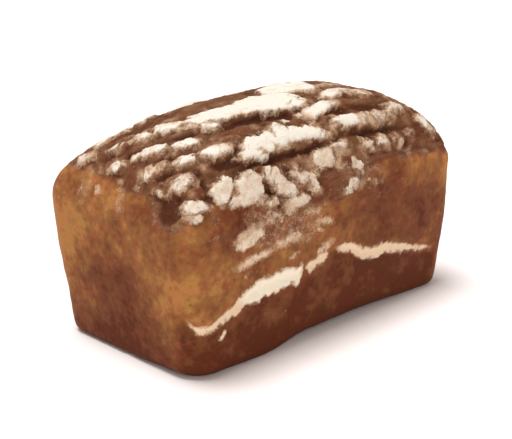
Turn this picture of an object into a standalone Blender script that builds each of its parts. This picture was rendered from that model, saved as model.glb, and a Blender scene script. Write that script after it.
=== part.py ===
"""A whole rye loaf baked in a tin.

The tin gave it flared walls with rounded edges. The dough rose above the rim into a
domed crown, whose floured skin tore lengthwise into raised plates with sunken bands
between them, and a fold in the dough left a slanting groove round one long wall.

Metres, +Z up, length along X, origin under the middle of the flat base.
"""

import math

import bmesh
import bpy
import numpy as np

MM = 0.001

# Driving dimensions of the loaf.
RIM_LENGTH = 200 * MM
RIM_WIDTH = 104.6 * MM
BASE_LENGTH = 184.5 * MM
BASE_WIDTH = 96 * MM
WALL_HEIGHT = 85 * MM
CROWN_RISE = 28.3 * MM
CORNER_RADIUS = 12 * MM
BASE_RADIUS = 4.5 * MM
SHOULDER_RADIUS = 16 * MM
WALL_BOW = 1.3 * MM

# The one corner of the base that the dough didn't fill: its radius in plan, and that of
# the base's edge there.
BLUNT_RADIUS = 17.5 * MM
BLUNT_BASE_RADIUS = 8 * MM

# The radius of the base's edge along the front, where the dough fell short of the tin.
SLACK_BASE_RADIUS = 13 * MM

# How the crown swells: the exponents square it off, and its top lies off centre.
CROWN_ALONG = (3.4, 0.84)
CROWN_ACROSS = (3.0, 1.0)
CROWN_TOP = (0.045, -0.09)

# The working grid's spacing, and how many triangles the finished crust keeps.
GRID_STEP = 1.7 * MM
TRIANGLES_KEPT = 11200

# Points that lie this near the base's plane are laid on it, so that the loaf doesn't rock.
BASE_FLATNESS = 0.02 * MM

# Relief of the torn crust.
PLATE_LIFT = 1.3 * MM
PLATE_EDGE = 1.3 * MM
PATCH_SQUARENESS = 2.7
RIM_DEPTH = 0.6 * MM
RIM_REACH = 3 * MM
TEAR_DEPTH = 2.4 * MM
TEAR_EDGE = 1.2 * MM
CRUST_FADE = 6 * MM
FIBRE_SIZE = 6 * MM
FIBRE_HEIGHT = 0.5 * MM
UNEVENNESS = 0.7 * MM

# How the edges of plates and tears wander: size and reach of the bends, and their seed.
WANDERS = [(14 * MM, 1.5 * MM, 20), (5 * MM, 0.9 * MM, 30)]

# Plates of floured skin in millimetres: middle along the loaf, middle across it over the
# crown (past half the rim width it counts down the wall), half length, half width, and
# turn in degrees. These lie on the crown's front half and on its ends.
PLATES = [
    (-64, 0, 9, 4.8, -45), (-39, -11, 21, 8, -12), (-10, -13, 21, 12, -8), (16, 0, 18, 10, -12),
    (9, -29, 15, 4.2, 13), (29, -20, 13, 4.2, 8), (47, -23, 11, 4, -7), (-54, -18, 6, 3.6, -30),
    (-17, -38, 22, 4.0, -9), (-38, -38, 16, 4.3, -4), (-49, -41, 11, 2.8, -9),
    (-25, -34, 9, 3.0, -12), (19, -38, 10, 4.0, 0), (39, -39, 17, 4.4, 0), (61, -35, 8, 3.4, -4),
    (80, -43, 9, 4.4, -38), (-6, -49, 8.5, 4.0, 2), (7, -46, 8, 2.4, 0), (28, -48, 6.5, 3.2, -20),
    (38, -49, 6, 3.0, -8), (50, -49, 7, 2.8, 0), (-73, -47, 7, 5, 18), (-57, -51, 8.5, 6.2, 4),
    (-63, -56, 11, 2.8, -10), (-55, -46, 5, 2, -11), (-41, -50, 8.5, 4.4, -20),
    (-35, -57, 8, 3.8, -8), (-45, -61, 5, 3.2, 7), (-30, -63, 9, 3.8, 2), (-22, -53, 9, 3.0, -20),
    (-17, -59, 5, 2.8, -52), (-88, -50, 8, 3.8, -31), (-92, -57, 3.4, 2.6, 0), (-90, 30, 7, 4, -69),
    (-82, 14, 6, 3.4, -30), (-75, 6, 7, 3, -60), (-80, -9, 7.5, 4, -48), (-71, -20, 8, 4.2, -42),
    (-66, -33, 9, 3.4, -22), (-78, -28, 7.5, 3.4, -32), (-88, -18, 8, 4.6, -54),
    (-91, 5, 5, 3.4, -49), (-86, -3, 4.4, 3.0, -55), (-88, -35, 8, 3.8, -19),
]

# The back half, which tore in the same way: rows of plates with seeded lengths and gaps.
BACK_ROWS = (29, 38, 47, 57)
BACK_SPAN = 88
BACK_SEED = 11

# Sunken tears between the plates, in the same form, with a share of the full depth last.
TEARS = [
    (-50, -15, 6, 2.0, -30, 1.0), (-28, -25, 25, 3.4, -8, 1.0), (3, 10, 12, 5, -20, 0.6),
    (16, -32, 15, 2, 0, 0.8), (43, -34, 17, 2.6, -12, 0.7), (-61, -37, 16, 1.2, -18, 0.8),
    (-30, -44, 36, 1.8, -2, 0.9), (35, -44, 29, 1.6, -2, 0.8), (-81, -2, 12, 2.0, -43, 0.9),
    (-80, -21, 15, 1.4, -48, 0.8), (-66, -12, 8, 2.0, -36, 0.9), (-72, 9, 11, 1.9, -67, 0.6),
    (-79, -43, 6, 2.1, 80, 0.8), (-86, -28, 11, 1.5, -42, 0.7), (-88, 14, 8, 1.8, -62, 0.6),
    (-58, 18, 16, 8, -10, 0.5), (47, -10, 17, 6, 12, 0.5),
]

# The groove of the fold: distance along the wall and height, in millimetres. Short of the
# corner the distance counts on round it.
FOLD_LINE = [
    (-101, 32), (-91, 26.5), (-79, 28.5), (-66, 35.5), (-58, 38), (-43, 39), (-30, 39),
    (-12, 42.5), (3, 44), (12, 41), (20, 36), (38, 35), (48, 33), (58, 30), (68, 27), (82, 24),
]
FOLD_CORNER = -48
FOLD_DEPTH = 2.2 * MM
FOLD_HALF_WIDTH = 2.6 * MM
FOLD_STEP_BACK = 0.8 * MM

# The lower edge of the torn crust, counted the same way round the loaf, and its height.
CRUST_EDGE = [
    (-195, 82), (-160, 85), (-125, 81), (-113, 72), (-104, 70), (-95, 74), (-82, 80),
    (-62, 77), (-42, 69), (0, 66), (16, 70), (27, 77), (60, 78), (80, 75), (100, 71),
]

# Broad hollows (negative) and swellings of the loaf: x, y, z, reach and depth, in mm.
SWELLINGS = [
    (-42, -50, 4, 26, -1.0), (-97, 10, 50, 30, -0.8), (-98, 50, 60, 36, 0.8),
    (50, -52, 70, 30, 0.5), (20, 51, 40, 40, -0.9), (96, -5, 60, 30, 0.3),
    (98, -48, 70, 28, -2.0), (-62, 34, 102, 20, -1.5), (42, 4, 112, 34, 1.0),
]


def smoothstep(low, high, value):
    """0 below low, 1 above high, and a soft ramp between them."""
    t = np.clip((value - low) / (high - low), 0.0, 1.0)
    return t * t * (3.0 - 2.0 * t)


def cell_number(cells, seed):
    """A repeatable number from 0 to 1 for each whole-numbered cell."""
    mixed = cells[..., 0] * 73856093 ^ cells[..., 1] * 19349663 ^ cells[..., 2] * 83492791
    mixed = (mixed ^ (seed * 374761393)) & 0xFFFFFFFF
    mixed = ((mixed ^ (mixed >> 15)) * 2246822519) & 0xFFFFFFFF
    mixed = ((mixed ^ (mixed >> 13)) * 3266489917) & 0xFFFFFFFF
    return ((mixed ^ (mixed >> 16)) & 0xFFFFFF) / float(0xFFFFFF)


def ripple(points, size, seed):
    """Smooth noise from about -1 to 1, with bumps of the given size."""
    scaled = points / size
    base = np.floor(scaled).astype(np.int64)
    part = scaled - base
    blend = part * part * part * (part * (part * 6.0 - 15.0) + 10.0)
    total = np.zeros(len(points))
    for corner in np.ndindex(2, 2, 2):
        cell = base + np.array(corner)
        slope = np.stack([cell_number(cell, seed + k) * 2.0 - 1.0 for k in range(3)], axis=-1)
        share = np.prod(np.where(np.array(corner) == 1, blend, 1.0 - blend), axis=-1)
        total += share * ((part - np.array(corner)) * slope).sum(axis=-1)
    return total * 1.6


def near_base_corner(x, y, z):
    """How near each point is to the one corner of the base that the dough didn't fill."""
    away = np.hypot(x + RIM_LENGTH / 2, y + RIM_WIDTH / 2)
    return smoothstep(50 * MM, 14 * MM, away) * smoothstep(60 * MM, 4 * MM, z)


def slack_in_front(x, y):
    """How far the dough fell short of the tin's lower edge along the front wall."""
    half_x, half_y = RIM_LENGTH / 2, RIM_WIDTH / 2
    slack = smoothstep(-0.5 * half_x, -0.1 * half_x, x)
    slack = slack * smoothstep(0.95 * half_x, 0.2 * half_x, x)
    return slack * smoothstep(-0.1 * half_y, -0.6 * half_y, y)


def round_plan(x, y, blunt):
    """Pulls the corners of the rim's rectangle in to arcs. Also gives each point's depth
    inside the outline, and its direction out of the corner's middle."""
    half_x, half_y = RIM_LENGTH / 2, RIM_WIDTH / 2
    radius = CORNER_RADIUS + (BLUNT_RADIUS - CORNER_RADIUS) * blunt
    inner_x = np.clip(x, radius - half_x, half_x - radius)
    inner_y = np.clip(y, radius - half_y, half_y - radius)
    out_x, out_y = x - inner_x, y - inner_y
    reach = np.maximum(np.hypot(out_x, out_y), 1e-9)
    square = np.maximum(np.abs(out_x), np.abs(out_y))
    out_x, out_y = out_x * square / reach, out_y * square / reach
    inside = np.minimum(half_x - np.abs(x), half_y - np.abs(y))
    depth = np.where(square > 1e-9, radius - square, inside)
    return inner_x + out_x, inner_y + out_y, depth, out_x, out_y, np.maximum(square, 1e-9)


def loaf_form(cube):
    """The smooth loaf: where each point of a cube from -1 to 1 goes."""
    u, v, w = cube.T
    upper = w > 0
    z = (w + 1) / 2 * WALL_HEIGHT
    x, y = u * RIM_LENGTH / 2, v * RIM_WIDTH / 2
    blunt = near_base_corner(x, y, z)
    x, y, depth, out_x, out_y, reach = round_plan(x, y, blunt)

    # Rounds the base edge and the shoulder.
    slack = slack_in_front(x, y)
    lower_radius = BASE_RADIUS + (BLUNT_BASE_RADIUS - BASE_RADIUS) * blunt
    lower_radius = lower_radius + (SLACK_BASE_RADIUS - BASE_RADIUS) * slack
    radius = np.where(upper, SHOULDER_RADIUS, lower_radius)
    side = np.maximum(radius - depth, 0.0)
    rise = np.maximum(np.where(upper, z - WALL_HEIGHT, -z) + radius, 0.0)
    trim = 1.0 - np.maximum(side, rise) / np.maximum(np.hypot(side, rise), 1e-9)
    trim = np.where((side > 0) & (rise > 0), trim, 0.0)
    x = x - out_x / reach * side * trim
    y = y - out_y / reach * side * trim
    z = z - np.where(upper, 1.0, -1.0) * rise * trim

    # Flares the walls and bows them out.
    height = z / WALL_HEIGHT
    x = x * (BASE_LENGTH / RIM_LENGTH + (1.0 - BASE_LENGTH / RIM_LENGTH) * height)
    y = y * (BASE_WIDTH / RIM_WIDTH + (1.0 - BASE_WIDTH / RIM_WIDTH) * height)
    bow = WALL_BOW * 4.0 * height * (1.0 - height)
    x = x + np.sign(x) * bow * np.abs(x / (RIM_LENGTH / 2)) ** 4
    y = y + np.sign(y) * bow * np.abs(y / (RIM_WIDTH / 2)) ** 4

    # Lifts the crown.
    swell = 1.0
    for place, half, top, (power, fullness) in (
        (x, RIM_LENGTH / 2, CROWN_TOP[0], CROWN_ALONG),
        (y, RIM_WIDTH / 2, CROWN_TOP[1], CROWN_ACROSS),
    ):
        off = np.clip(place / half, -1.0, 1.0) - top
        off = off / np.where(off > 0, 1.0 - top, 1.0 + top)
        swell = swell * np.maximum(1.0 - np.abs(off) ** power, 0.0) ** fullness
    z = z + CROWN_RISE * swell * np.clip(height, 0.0, 1.0) ** 4
    return np.stack([x, y, z], axis=-1)


def cube_place(along, across):
    """The cube's point for a place on the loaf: metres along it, and metres across it."""
    half_x, half_y = RIM_LENGTH / 2, RIM_WIDTH / 2
    down = max(abs(across) - half_y, abs(along) - half_x, 0.0)
    return (
        max(-1.0, min(1.0, along / half_x)),
        max(-1.0, min(1.0, across / half_y)),
        1.0 - 2.0 * down / WALL_HEIGHT,
    )


def back_plates():
    """Rows of plates for the crown's back half, one after another along each row."""
    chance = np.random.default_rng(BACK_SEED)
    plates = []
    for row in BACK_ROWS:
        x = -BACK_SPAN + chance.uniform(0, 14)
        while x < BACK_SPAN - 8:
            half = chance.uniform(5, 17)
            middle = (x + half, row + chance.uniform(-2, 2))
            plates.append((*middle, half, chance.uniform(2.5, 5), chance.uniform(-12, 12)))
            x += 2 * half + chance.uniform(4, 16)
    return plates


def patch_axes(along, across, turn):
    """A patch's middle on the smooth loaf, and its long, short and outward directions."""
    here = np.array(cube_place(along, across))
    nearby = here + np.array([[0, 0, 0], [0.01, 0, 0], [-0.01, 0, 0]])
    middle, ahead, behind = loaf_form(nearby)
    forward = (ahead - behind) / np.linalg.norm(ahead - behind)
    if abs(across) > RIM_WIDTH / 2:
        outward = np.array([0.0, math.copysign(1.0, across), 0.0])
    else:
        outward = np.array([0.0, (across / (RIM_WIDTH / 2)) ** 3, 1.0])
    outward -= forward * outward.dot(forward)
    outward /= np.linalg.norm(outward)
    sideways = np.cross(outward, forward)
    angle = math.radians(turn)
    long_way = forward * math.cos(angle) + sideways * math.sin(angle)
    return middle, long_way, np.cross(outward, long_way), outward


def patch_depth(points, patch):
    """How far inside one patch each point is, in metres, and below 0 outside it."""
    along, across, half_length, half_width, turn = patch
    middle, long_way, short_way, outward = patch_axes(along * MM, across * MM, turn)
    off = points - middle
    ratio = (
        np.abs(off @ long_way / (half_length * MM)) ** PATCH_SQUARENESS
        + np.abs(off @ short_way / (half_width * MM)) ** PATCH_SQUARENESS
        + np.abs(off @ outward / (2.5 * half_width * MM)) ** PATCH_SQUARENESS
    ) ** (1.0 / PATCH_SQUARENESS)
    return (1.0 - ratio) * half_width * MM


def way_round(points):
    """The distance along the front wall, and on round the near corner as it goes down."""
    return points[:, 0] - np.maximum(points[:, 1] - FOLD_CORNER * MM, 0.0)


def follow(line, along):
    """The height that a list of places gives at each distance along it, in metres."""
    line = np.array(line, float) * MM
    return np.interp(along, line[:, 0], line[:, 1])


def fold_relief(points, wander):
    """The fold: a groove, with the wall below it set back a little, in metres."""
    x, y, z = points.T
    along = way_round(points)
    front = smoothstep(-0.030, -0.042, y) * smoothstep(-0.109, -0.100, along)
    front *= 1.0 - smoothstep(0.076, 0.090, x)
    off = z - follow(FOLD_LINE, along) - wander[:, 2] * 0.3
    groove = np.exp(-((off / FOLD_HALF_WIDTH) ** 2))
    below = smoothstep(0.0, -2 * FOLD_HALF_WIDTH, off) * smoothstep(2 * MM, 14 * MM, z)
    return -front * (FOLD_DEPTH * groove + FOLD_STEP_BACK * below)


def crust_relief(points):
    """How far the torn and folded crust stands out from the smooth loaf, in metres."""
    z = points[:, 2]
    wander = np.zeros_like(points)
    for size, reach, seed in WANDERS:
        wander += np.stack([ripple(points, size, seed + k) for k in range(3)], axis=-1) * reach
    warped = points + wander

    inside = np.full(len(points), -1.0)
    for patch in PLATES + back_plates():
        inside = np.maximum(inside, patch_depth(warped, patch))
    torn = np.zeros(len(points))
    for *patch, share in TEARS:
        depth = patch_depth(warped, patch)
        torn = np.maximum(torn, share * smoothstep(-TEAR_EDGE, TEAR_EDGE, depth))

    edge = follow(CRUST_EDGE, way_round(points))
    plate = smoothstep(-0.5 * PLATE_EDGE, PLATE_EDGE, inside)
    crust = smoothstep(edge, edge + CRUST_FADE, z + 1.6 * wander[:, 2])
    crust = np.maximum(crust, plate)
    bare = crust * (1.0 - plate)
    rim = smoothstep(-RIM_REACH, -0.4 * MM, inside)
    rim *= smoothstep(-0.35, 0.35, ripple(points, 7 * MM, 58))

    relief = crust * PLATE_LIFT * (plate - 0.5)
    relief -= bare * (RIM_DEPTH * rim + TEAR_DEPTH * torn)
    relief += bare * FIBRE_HEIGHT * ripple(points * np.array([0.35, 1, 1]), FIBRE_SIZE, 51)
    relief += UNEVENNESS * ripple(points, 34 * MM, 41) * smoothstep(4 * MM, 20 * MM, z)
    relief += fold_relief(points, wander)
    for sx, sy, sz, reach, depth in SWELLINGS:
        away = np.linalg.norm(points - np.array([sx, sy, sz]) * MM, axis=-1)
        relief += depth * MM * np.exp(-((away / (reach * MM)) ** 2))
    return relief


def cut_parallel_edges(block, axis, cuts):
    """Splits every edge of the block that runs along one axis, so that its faces make a grid."""
    chosen = [
        edge
        for edge in block.edges
        if abs((edge.verts[0].co - edge.verts[1].co).normalized()[axis]) > 0.99
    ]
    bmesh.ops.subdivide_edges(block, edges=chosen, cuts=cuts, use_grid_fill=True)


def crust_material():
    """Browned rye crust."""
    material = bpy.data.materials.new("Browned rye crust")
    material.use_nodes = True
    shader = material.node_tree.nodes["Principled BSDF"]
    shader.inputs["Base Color"].default_value = (0.19, 0.075, 0.03, 1.0)
    shader.inputs["Roughness"].default_value = 0.7
    shader.inputs["Metallic"].default_value = 0.0
    return material


def read_vectors(items, name):
    """A vector of each item of a mesh, as rows of numbers."""
    values = np.empty(len(items) * 3)
    items.foreach_get(name, values)
    return values.reshape(-1, 3)


def thin_faces(loaf):
    """Keeps fewer faces, and lays the points that this moved back on the base's plane."""
    thin = loaf.modifiers.new("Fewer faces", "DECIMATE")
    thin.ratio = TRIANGLES_KEPT / (2 * len(loaf.data.polygons))
    bpy.context.view_layer.update()
    graph = bpy.context.evaluated_depsgraph_get()
    mesh = bpy.data.meshes.new_from_object(loaf.evaluated_get(graph))
    points = read_vectors(mesh.vertices, "co")
    points[points[:, 2] < BASE_FLATNESS, 2] = 0.0
    mesh.vertices.foreach_set("co", points.ravel())
    mesh.update()
    loaf.modifiers.clear()
    loaf.data = mesh


def build_loaf(collection):
    """Models the loaf as one solid, from a cube in a tin's shape to the torn crust."""
    block = bmesh.new()
    bmesh.ops.create_cube(block, size=2.0)
    for axis, length in enumerate((RIM_LENGTH, RIM_WIDTH, WALL_HEIGHT)):
        cut_parallel_edges(block, axis, round(length / GRID_STEP) - 1)
    mesh = bpy.data.meshes.new("rye_loaf")
    block.to_mesh(mesh)
    block.free()

    points = loaf_form(read_vectors(mesh.vertices, "co"))
    mesh.vertices.foreach_set("co", points.ravel())
    mesh.update()
    normals = read_vectors(mesh.vertices, "normal")

    # The base stays flat, so relief fades out towards it.
    standing = smoothstep(0.0, 3 * MM, points[:, 2])
    points = points + normals * (crust_relief(points) * standing)[:, None]
    middle = (points.max(axis=0) + points.min(axis=0)) / 2
    points -= np.array([middle[0], middle[1], points[:, 2].min()])
    mesh.vertices.foreach_set("co", points.ravel())
    mesh.materials.append(crust_material())
    mesh.shade_smooth()

    loaf = bpy.data.objects.new("rye_loaf", mesh)
    collection.objects.link(loaf)
    thin_faces(loaf)


def main():
    for obj in list(bpy.data.objects):
        bpy.data.objects.remove(obj)
    collection = bpy.data.collections.new("Rye loaf")
    bpy.context.scene.collection.children.link(collection)
    build_loaf(collection)


main()
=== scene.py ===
"""A whole rye loaf baked in a tin: its crust, its flour and a plain studio.

The tin gave the loaf flared walls with rounded edges. The dough rose above the rim into a
domed crown, whose floured skin tore lengthwise into raised plates with sunken bands between
them, and a fold in the dough left a slanting, floured groove round one long wall.
"""

import math

import bpy
import numpy as np
from bpy.props import FloatProperty, FloatVectorProperty, IntProperty, PointerProperty
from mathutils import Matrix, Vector


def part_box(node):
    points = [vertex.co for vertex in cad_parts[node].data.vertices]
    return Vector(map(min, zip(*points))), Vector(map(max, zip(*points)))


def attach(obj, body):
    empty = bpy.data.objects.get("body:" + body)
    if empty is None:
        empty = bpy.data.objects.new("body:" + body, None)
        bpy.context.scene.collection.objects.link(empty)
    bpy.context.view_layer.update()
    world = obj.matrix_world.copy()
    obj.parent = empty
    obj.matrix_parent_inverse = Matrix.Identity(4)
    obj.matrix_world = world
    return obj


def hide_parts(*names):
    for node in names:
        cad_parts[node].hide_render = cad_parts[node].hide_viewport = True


bl_info = {
    "name": "Tin-baked rye loaf",
    "version": (1, 0, 0),
    "blender": (4, 5, 0),
    "location": "View3D > Sidebar > Rye loaf",
    "description": "Builds the crust, the flour and the studio of a tin-baked rye loaf",
    "category": "Add Mesh",
}

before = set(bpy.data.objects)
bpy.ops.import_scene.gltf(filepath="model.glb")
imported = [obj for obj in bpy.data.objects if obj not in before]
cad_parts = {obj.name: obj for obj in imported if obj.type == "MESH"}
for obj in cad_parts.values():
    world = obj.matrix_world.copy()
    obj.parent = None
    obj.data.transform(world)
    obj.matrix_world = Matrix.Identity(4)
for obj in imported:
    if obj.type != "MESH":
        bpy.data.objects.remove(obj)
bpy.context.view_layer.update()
LOAF_LOW, LOAF_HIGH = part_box("rye_loaf")

MM = 0.001
SIDEBAR = "Rye loaf"
CRUST_NAME = "baked_crust"
BREAD_GLOSS = 0.06

# How the crown swells: the exponents square it off, and its top lies off centre.
CROWN_ALONG = (3.4, 0.84)
CROWN_ACROSS = (3.0, 1.0)
CROWN_TOP = (0.045, -0.09)

# Plates of floured skin in millimetres: middle along the loaf, middle across it over the
# crown (past half the rim width it counts down the wall), half length, half width, turn in
# degrees, and how much of the plate the flour covers. These lie on the crown's front half
# and at its near end, row by row from the top.
PLATES = [
    (-64, 0, 9, 4.8, -45, 0.78), (-39, -11, 21, 8, -12, 0.84), (-10, -13, 21, 12, -8, 0.88),
    (16, 0, 18, 10, -12, 0.84), (9, -29, 15, 4.2, 13, 0.86), (29, -20, 13, 4.2, 8, 0.8),
    (47, -23, 11, 4, -7, 0.66), (-54, -18, 6, 3.6, -30, 0.78),
    (-17, -38, 22, 4, -9, 1), (-38, -38, 16, 4.3, -4, 1), (-49, -41, 11, 2.8, -9, 0.9),
    (-25, -34, 9, 3, -12, 0.95), (19, -38, 10, 4, 0, 0.92), (39, -39, 17, 4.4, 0, 0.6),
    (61, -35, 8, 3.4, -4, 0.66), (80, -43, 9, 4.4, -38, 0.7),
    (-6, -49, 8.5, 4, 2, 0.95), (7, -46, 8, 2.4, 0, 0.85), (28, -48, 6.5, 3.2, -20, 0.76),
    (38, -49, 6, 3, -8, 0.64), (50, -49, 7, 2.8, 0, 0.58),
    (-73, -47, 7, 5, 18, 0.93), (-57, -51, 8.5, 6.2, 4, 0.95), (-63, -56, 11, 2.8, -10, 0.9),
    (-55, -46, 5, 2, -11, 0.9), (-41, -50, 8.5, 4.4, -20, 0.9), (-35, -57, 8, 3.8, -8, 0.9),
    (-45, -61, 5, 3.2, 7, 0.85), (-30, -63, 9, 3.8, 2, 0.88), (-22, -53, 9, 3, -20, 0.88),
    (-17, -59, 5, 2.8, -52, 0.82), (-88, -50, 8, 3.8, -31, 0.85), (-92, -57, 3.4, 2.6, 0, 0.76),
    (-90, 30, 7, 4, -69, 0.6), (-82, 14, 6, 3.4, -30, 0.7), (-75, 6, 7, 3, -60, 0.72),
    (-80, -9, 7.5, 4, -48, 0.78), (-71, -20, 8, 4.2, -42, 0.84), (-66, -33, 9, 3.4, -22, 0.84),
    (-78, -28, 7.5, 3.4, -32, 0.78), (-88, -18, 8, 4.6, -54, 0.6), (-91, 5, 5, 3.4, -49, 0.7),
    (-86, -3, 4.4, 3, -55, 0.7), (-88, -35, 8, 3.8, -19, 0.68), (-96, -27, 3.6, 1.8, 76, 0.68),
]

# Sunken tears between the plates, in the same form, with a share of the full depth last. That
# share also sets how dark each tear is painted, as shade in the tear.
TEARS = [
    (-50, -15, 6, 2, -30, 1), (-28, -25, 25, 3.4, -8, 1), (3, 10, 12, 5, -20, 0.6),
    (-1, -38, 10, 1, -14, 0.6), (16, -32, 15, 2, 0, 0.8), (43, -34, 17, 2.6, -12, 0.7),
    (-61, -37, 16, 1.2, -18, 0.8), (-30, -44, 36, 1.8, -2, 0.9), (35, -44, 29, 1.6, -2, 0.8),
    (-66, -47, 4, 1.2, 20, 1), (-49, -52, 4, 1.2, 60, 0.9), (-44, -56, 4, 1.1, -8, 1),
    (-30, -54, 6, 1, -54, 0.9), (-81, -2, 12, 2, -43, 0.9), (-80, -21, 15, 1.4, -48, 0.8),
    (-66, -12, 8, 2, -36, 0.9), (-72, 9, 11, 1.9, -67, 0.6), (-79, -43, 6, 2.1, 80, 0.8),
    (-86, -28, 11, 1.5, -42, 0.7), (-38, -58, 5, 1, 75, 0.8), (-88, 14, 8, 1.8, -62, 0.6),
    (-58, 18, 16, 8, -10, 0.5), (47, -10, 17, 6, 12, 0.5), (-102, -36, 6, 7, 10, 0.66),
    (-61, -40, 12, 2.6, -10, 1),
]

# The back half, which tore in the same way: rows of plates with seeded lengths and gaps.
BACK_ROWS = (29, 38, 47, 57)
BACK_SPAN = 88
BACK_SEED = 11

# Flour that only lies on the crust, in the plates' form: specks below the plates, and rows
# of it behind the crown's top.
DUSTINGS = [
    (18, -56, 5, 2.8, -43, 0.75), (9, -63, 7, 3.4, 28, 0.6), (25, -64, 6, 2.4, -28, 0.5),
    (-105, 13, 3, 2.4, 21, 0.5), (-101, -2, 4, 1.8, -74, 0.44),
    (-106, 24, 2, 1.3, 20, 0.5), (-81, -117, 3.4, 1.8, 88, 0.75), (-52, -61, 4, 1.2, -6, 0.66),
    (-62, -73, 10, 3.4, 18, 0.58), (-58, -83, 13, 1.7, 8, 0.56), (-36, -79, 10, 1.6, 4, 0.52),
    (-20, -69, 8, 2, 0, 0.48), (-46, -66, 6, 2.2, -30, 0.5), (-12, -90, 5, 2, 20, 0.52),
    (-33, -89, 4, 2, 20, 0.48), (-66, -90, 3, 1.6, 0, 0.48), (-14, -80, 5, 1.5, -10, 0.46),
    (-72, 13, 7, 2, -62, 0.5), (-50, -67, 6, 1.5, -38, 0.56), (-35, -66, 6, 1.5, 2, 0.62),
    (-98, -54, 2, 1.1, -11, 0.6), (-16, -31, 2.8, 1.2, -7, 0.8), (53, -37, 6, 1.2, -8, 0.7),
    (9, -55, 6, 1.4, -20, 0.5), (62, -47, 5, 2, -10, 0.5), (-97, -12, 3, 1.6, 80, 0.55),
    (-68, -55, 5, 3, 0, 0.74), (-54, -58, 5, 2.4, 0, 0.64), (-36, -60, 4, 2, 0, 0.5),
    (-30, 25, 13, 3, -6, 0.82), (2, 23, 9, 2.6, 10, 0.76),
    (34, 23, 13, 3.2, -8, 0.8), (68, 18, 9, 3, -26, 0.72), (76, -8, 6, 3, 60, 0.66),
]

# Thin films of flour on the walls and on bare crust, in the same form.
FILMS = [
    (-63, -71, 11, 4.6, 18, 1), (-59, -83.5, 14, 2.8, 7, 1), (-37, -80.5, 12, 2.6, 3, 0.95),
    (-13, -76, 10, 2.6, -7, 0.8), (-10, -90, 5, 3.2, 21, 0.9), (-33, -89, 4, 2.4, 20, 0.7),
    (-82, -68, 9, 2, -8, 0.55), (-50, -67, 11, 3, -20, 0.7), (-19, -69, 12, 3, 0, 0.6),
    (-88, -26, 13, 4, -60, 0.45), (15, -63, 8, 4, 24, 0.6), (30, -70, 12, 5, -10, 0.3),
    (46, -8, 18, 9, 8, 0.85), (-58, -34, 20, 8, -30, 0.4), (-107, -4, 7, 4, 10, 0.62),
    (-104, 22, 9, 5, 0, 0.55), (24, -62, 14, 7, -10, 0.45), (-40, -71, 30, 12, -12, 0.5),
]

# The groove of the fold: distance along the wall (short of the corner it counts round it),
# height, and the half height of the flour in it (negative where there is none), in mm.
FOLD_LINE = [
    (-101, 31.5, -1), (-96, 28.5, 1.2), (-91, 25.8, 2), (-85, 25.8, 2.4), (-79, 28, 2.6),
    (-72, 31.5, 2.8), (-66, 34.5, 4.2), (-58, 37.2, 5.1), (-43, 38.3, 5.4), (-27, 38.3, 5.1),
    (-22, 38.8, -1), (-20, 39.2, 3.4), (-9, 42, 2.8), (-2, 43.8, -1), (4, 43.6, 2.6),
    (12, 41, 2.5), (20, 36, 3.3), (30, 34, 3.7), (38, 34.8, 3), (48, 32.4, 2.6),
    (58, 29.4, 2), (68, 26.4, 1.4), (82, 23.4, 0.9),
]
FOLD_CORNER = -48

# The lower edge of the torn crust, counted the same way round the loaf, and its height.
CRUST_EDGE = [
    (-195, 82), (-160, 85), (-125, 81), (-113, 72), (-104, 70), (-95, 74), (-82, 80), (-62, 77),
    (-42, 69), (0, 66), (16, 70), (27, 77), (60, 78), (80, 75), (100, 71),
]

# Broad hollows (negative) and swellings of the loaf: x, y, z, reach and depth, in mm.
SWELLINGS = [
    (-42, -50, 4, 26, -1), (-97, 10, 50, 30, -0.8), (-98, 50, 60, 36, 0.8),
    (50, -52, 70, 30, 0.5), (20, 51, 40, 40, -0.9), (96, -5, 60, 30, 0.3),
    (98, -48, 70, 28, -2), (-62, 34, 102, 20, -1.5), (42, 4, 112, 34, 1),
]

# How the edges of plates and tears wander: size and reach of the bends, and their seed.
WANDERS = [(14 * MM, 1.5 * MM, 20), (5 * MM, 0.9 * MM, 30), (2.5 * MM, 0.4 * MM, 36)]

# How the skin broke into small flakes, and how far a patch's edge follows their edges.
FLAKE_SIZE = 4.4 * MM
FLAKE_STRETCH = 1.6
FLAKE_SHARE = 0.3
FLAKE_STEP = 0.15 * MM
FLAKE_SPLIT = 0.25 * MM

# How square patches are, how far they reach in and out for their width, and how softly
# each kind of patch and the torn crust end.
PATCH_SQUARENESS = 2.7
PATCH_REACH = 2.5
PLATE_FADE = 2.4 * MM
DUST_FADE = 1.2 * MM
FILM_FADE = 2.5 * MM
TEAR_FADE = 1.2 * MM
CRUST_FADE = 6 * MM

# Fine grain of the skin and of the walls, and how high the flour is heaped in the fold.
SKIN_GRAIN = 0.12 * MM
WALL_GRAIN = 0.22 * MM
FOLD_HEAP = 0.6 * MM

# Where the fold runs out: round the near corner, at the far end, and towards the back.
FOLD_START = (-109 * MM, -100 * MM)
FOLD_END = (76 * MM, 90 * MM)
FOLD_BEHIND = (-30 * MM, -42 * MM)

# The crown's front edge, where crust shows through the flour, and how much of it does.
FRONT_EDGE = (-39 * MM, -46 * MM)
FRONT_THINNING = 0.38

# How brown the walls are as a rule, and what is added in clouds of two sizes, below the
# fold, near the base and under the loaf.
USUAL_BROWNING = 0.40
BROWN_CLOUDS = 0.16
SMALL_BROWN_CLOUDS = 0.05
BROWN_BELOW_FOLD = 0.50
BROWN_NEAR_BASE = 0.22
BROWN_UNDERSIDE = 0.15
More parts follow.
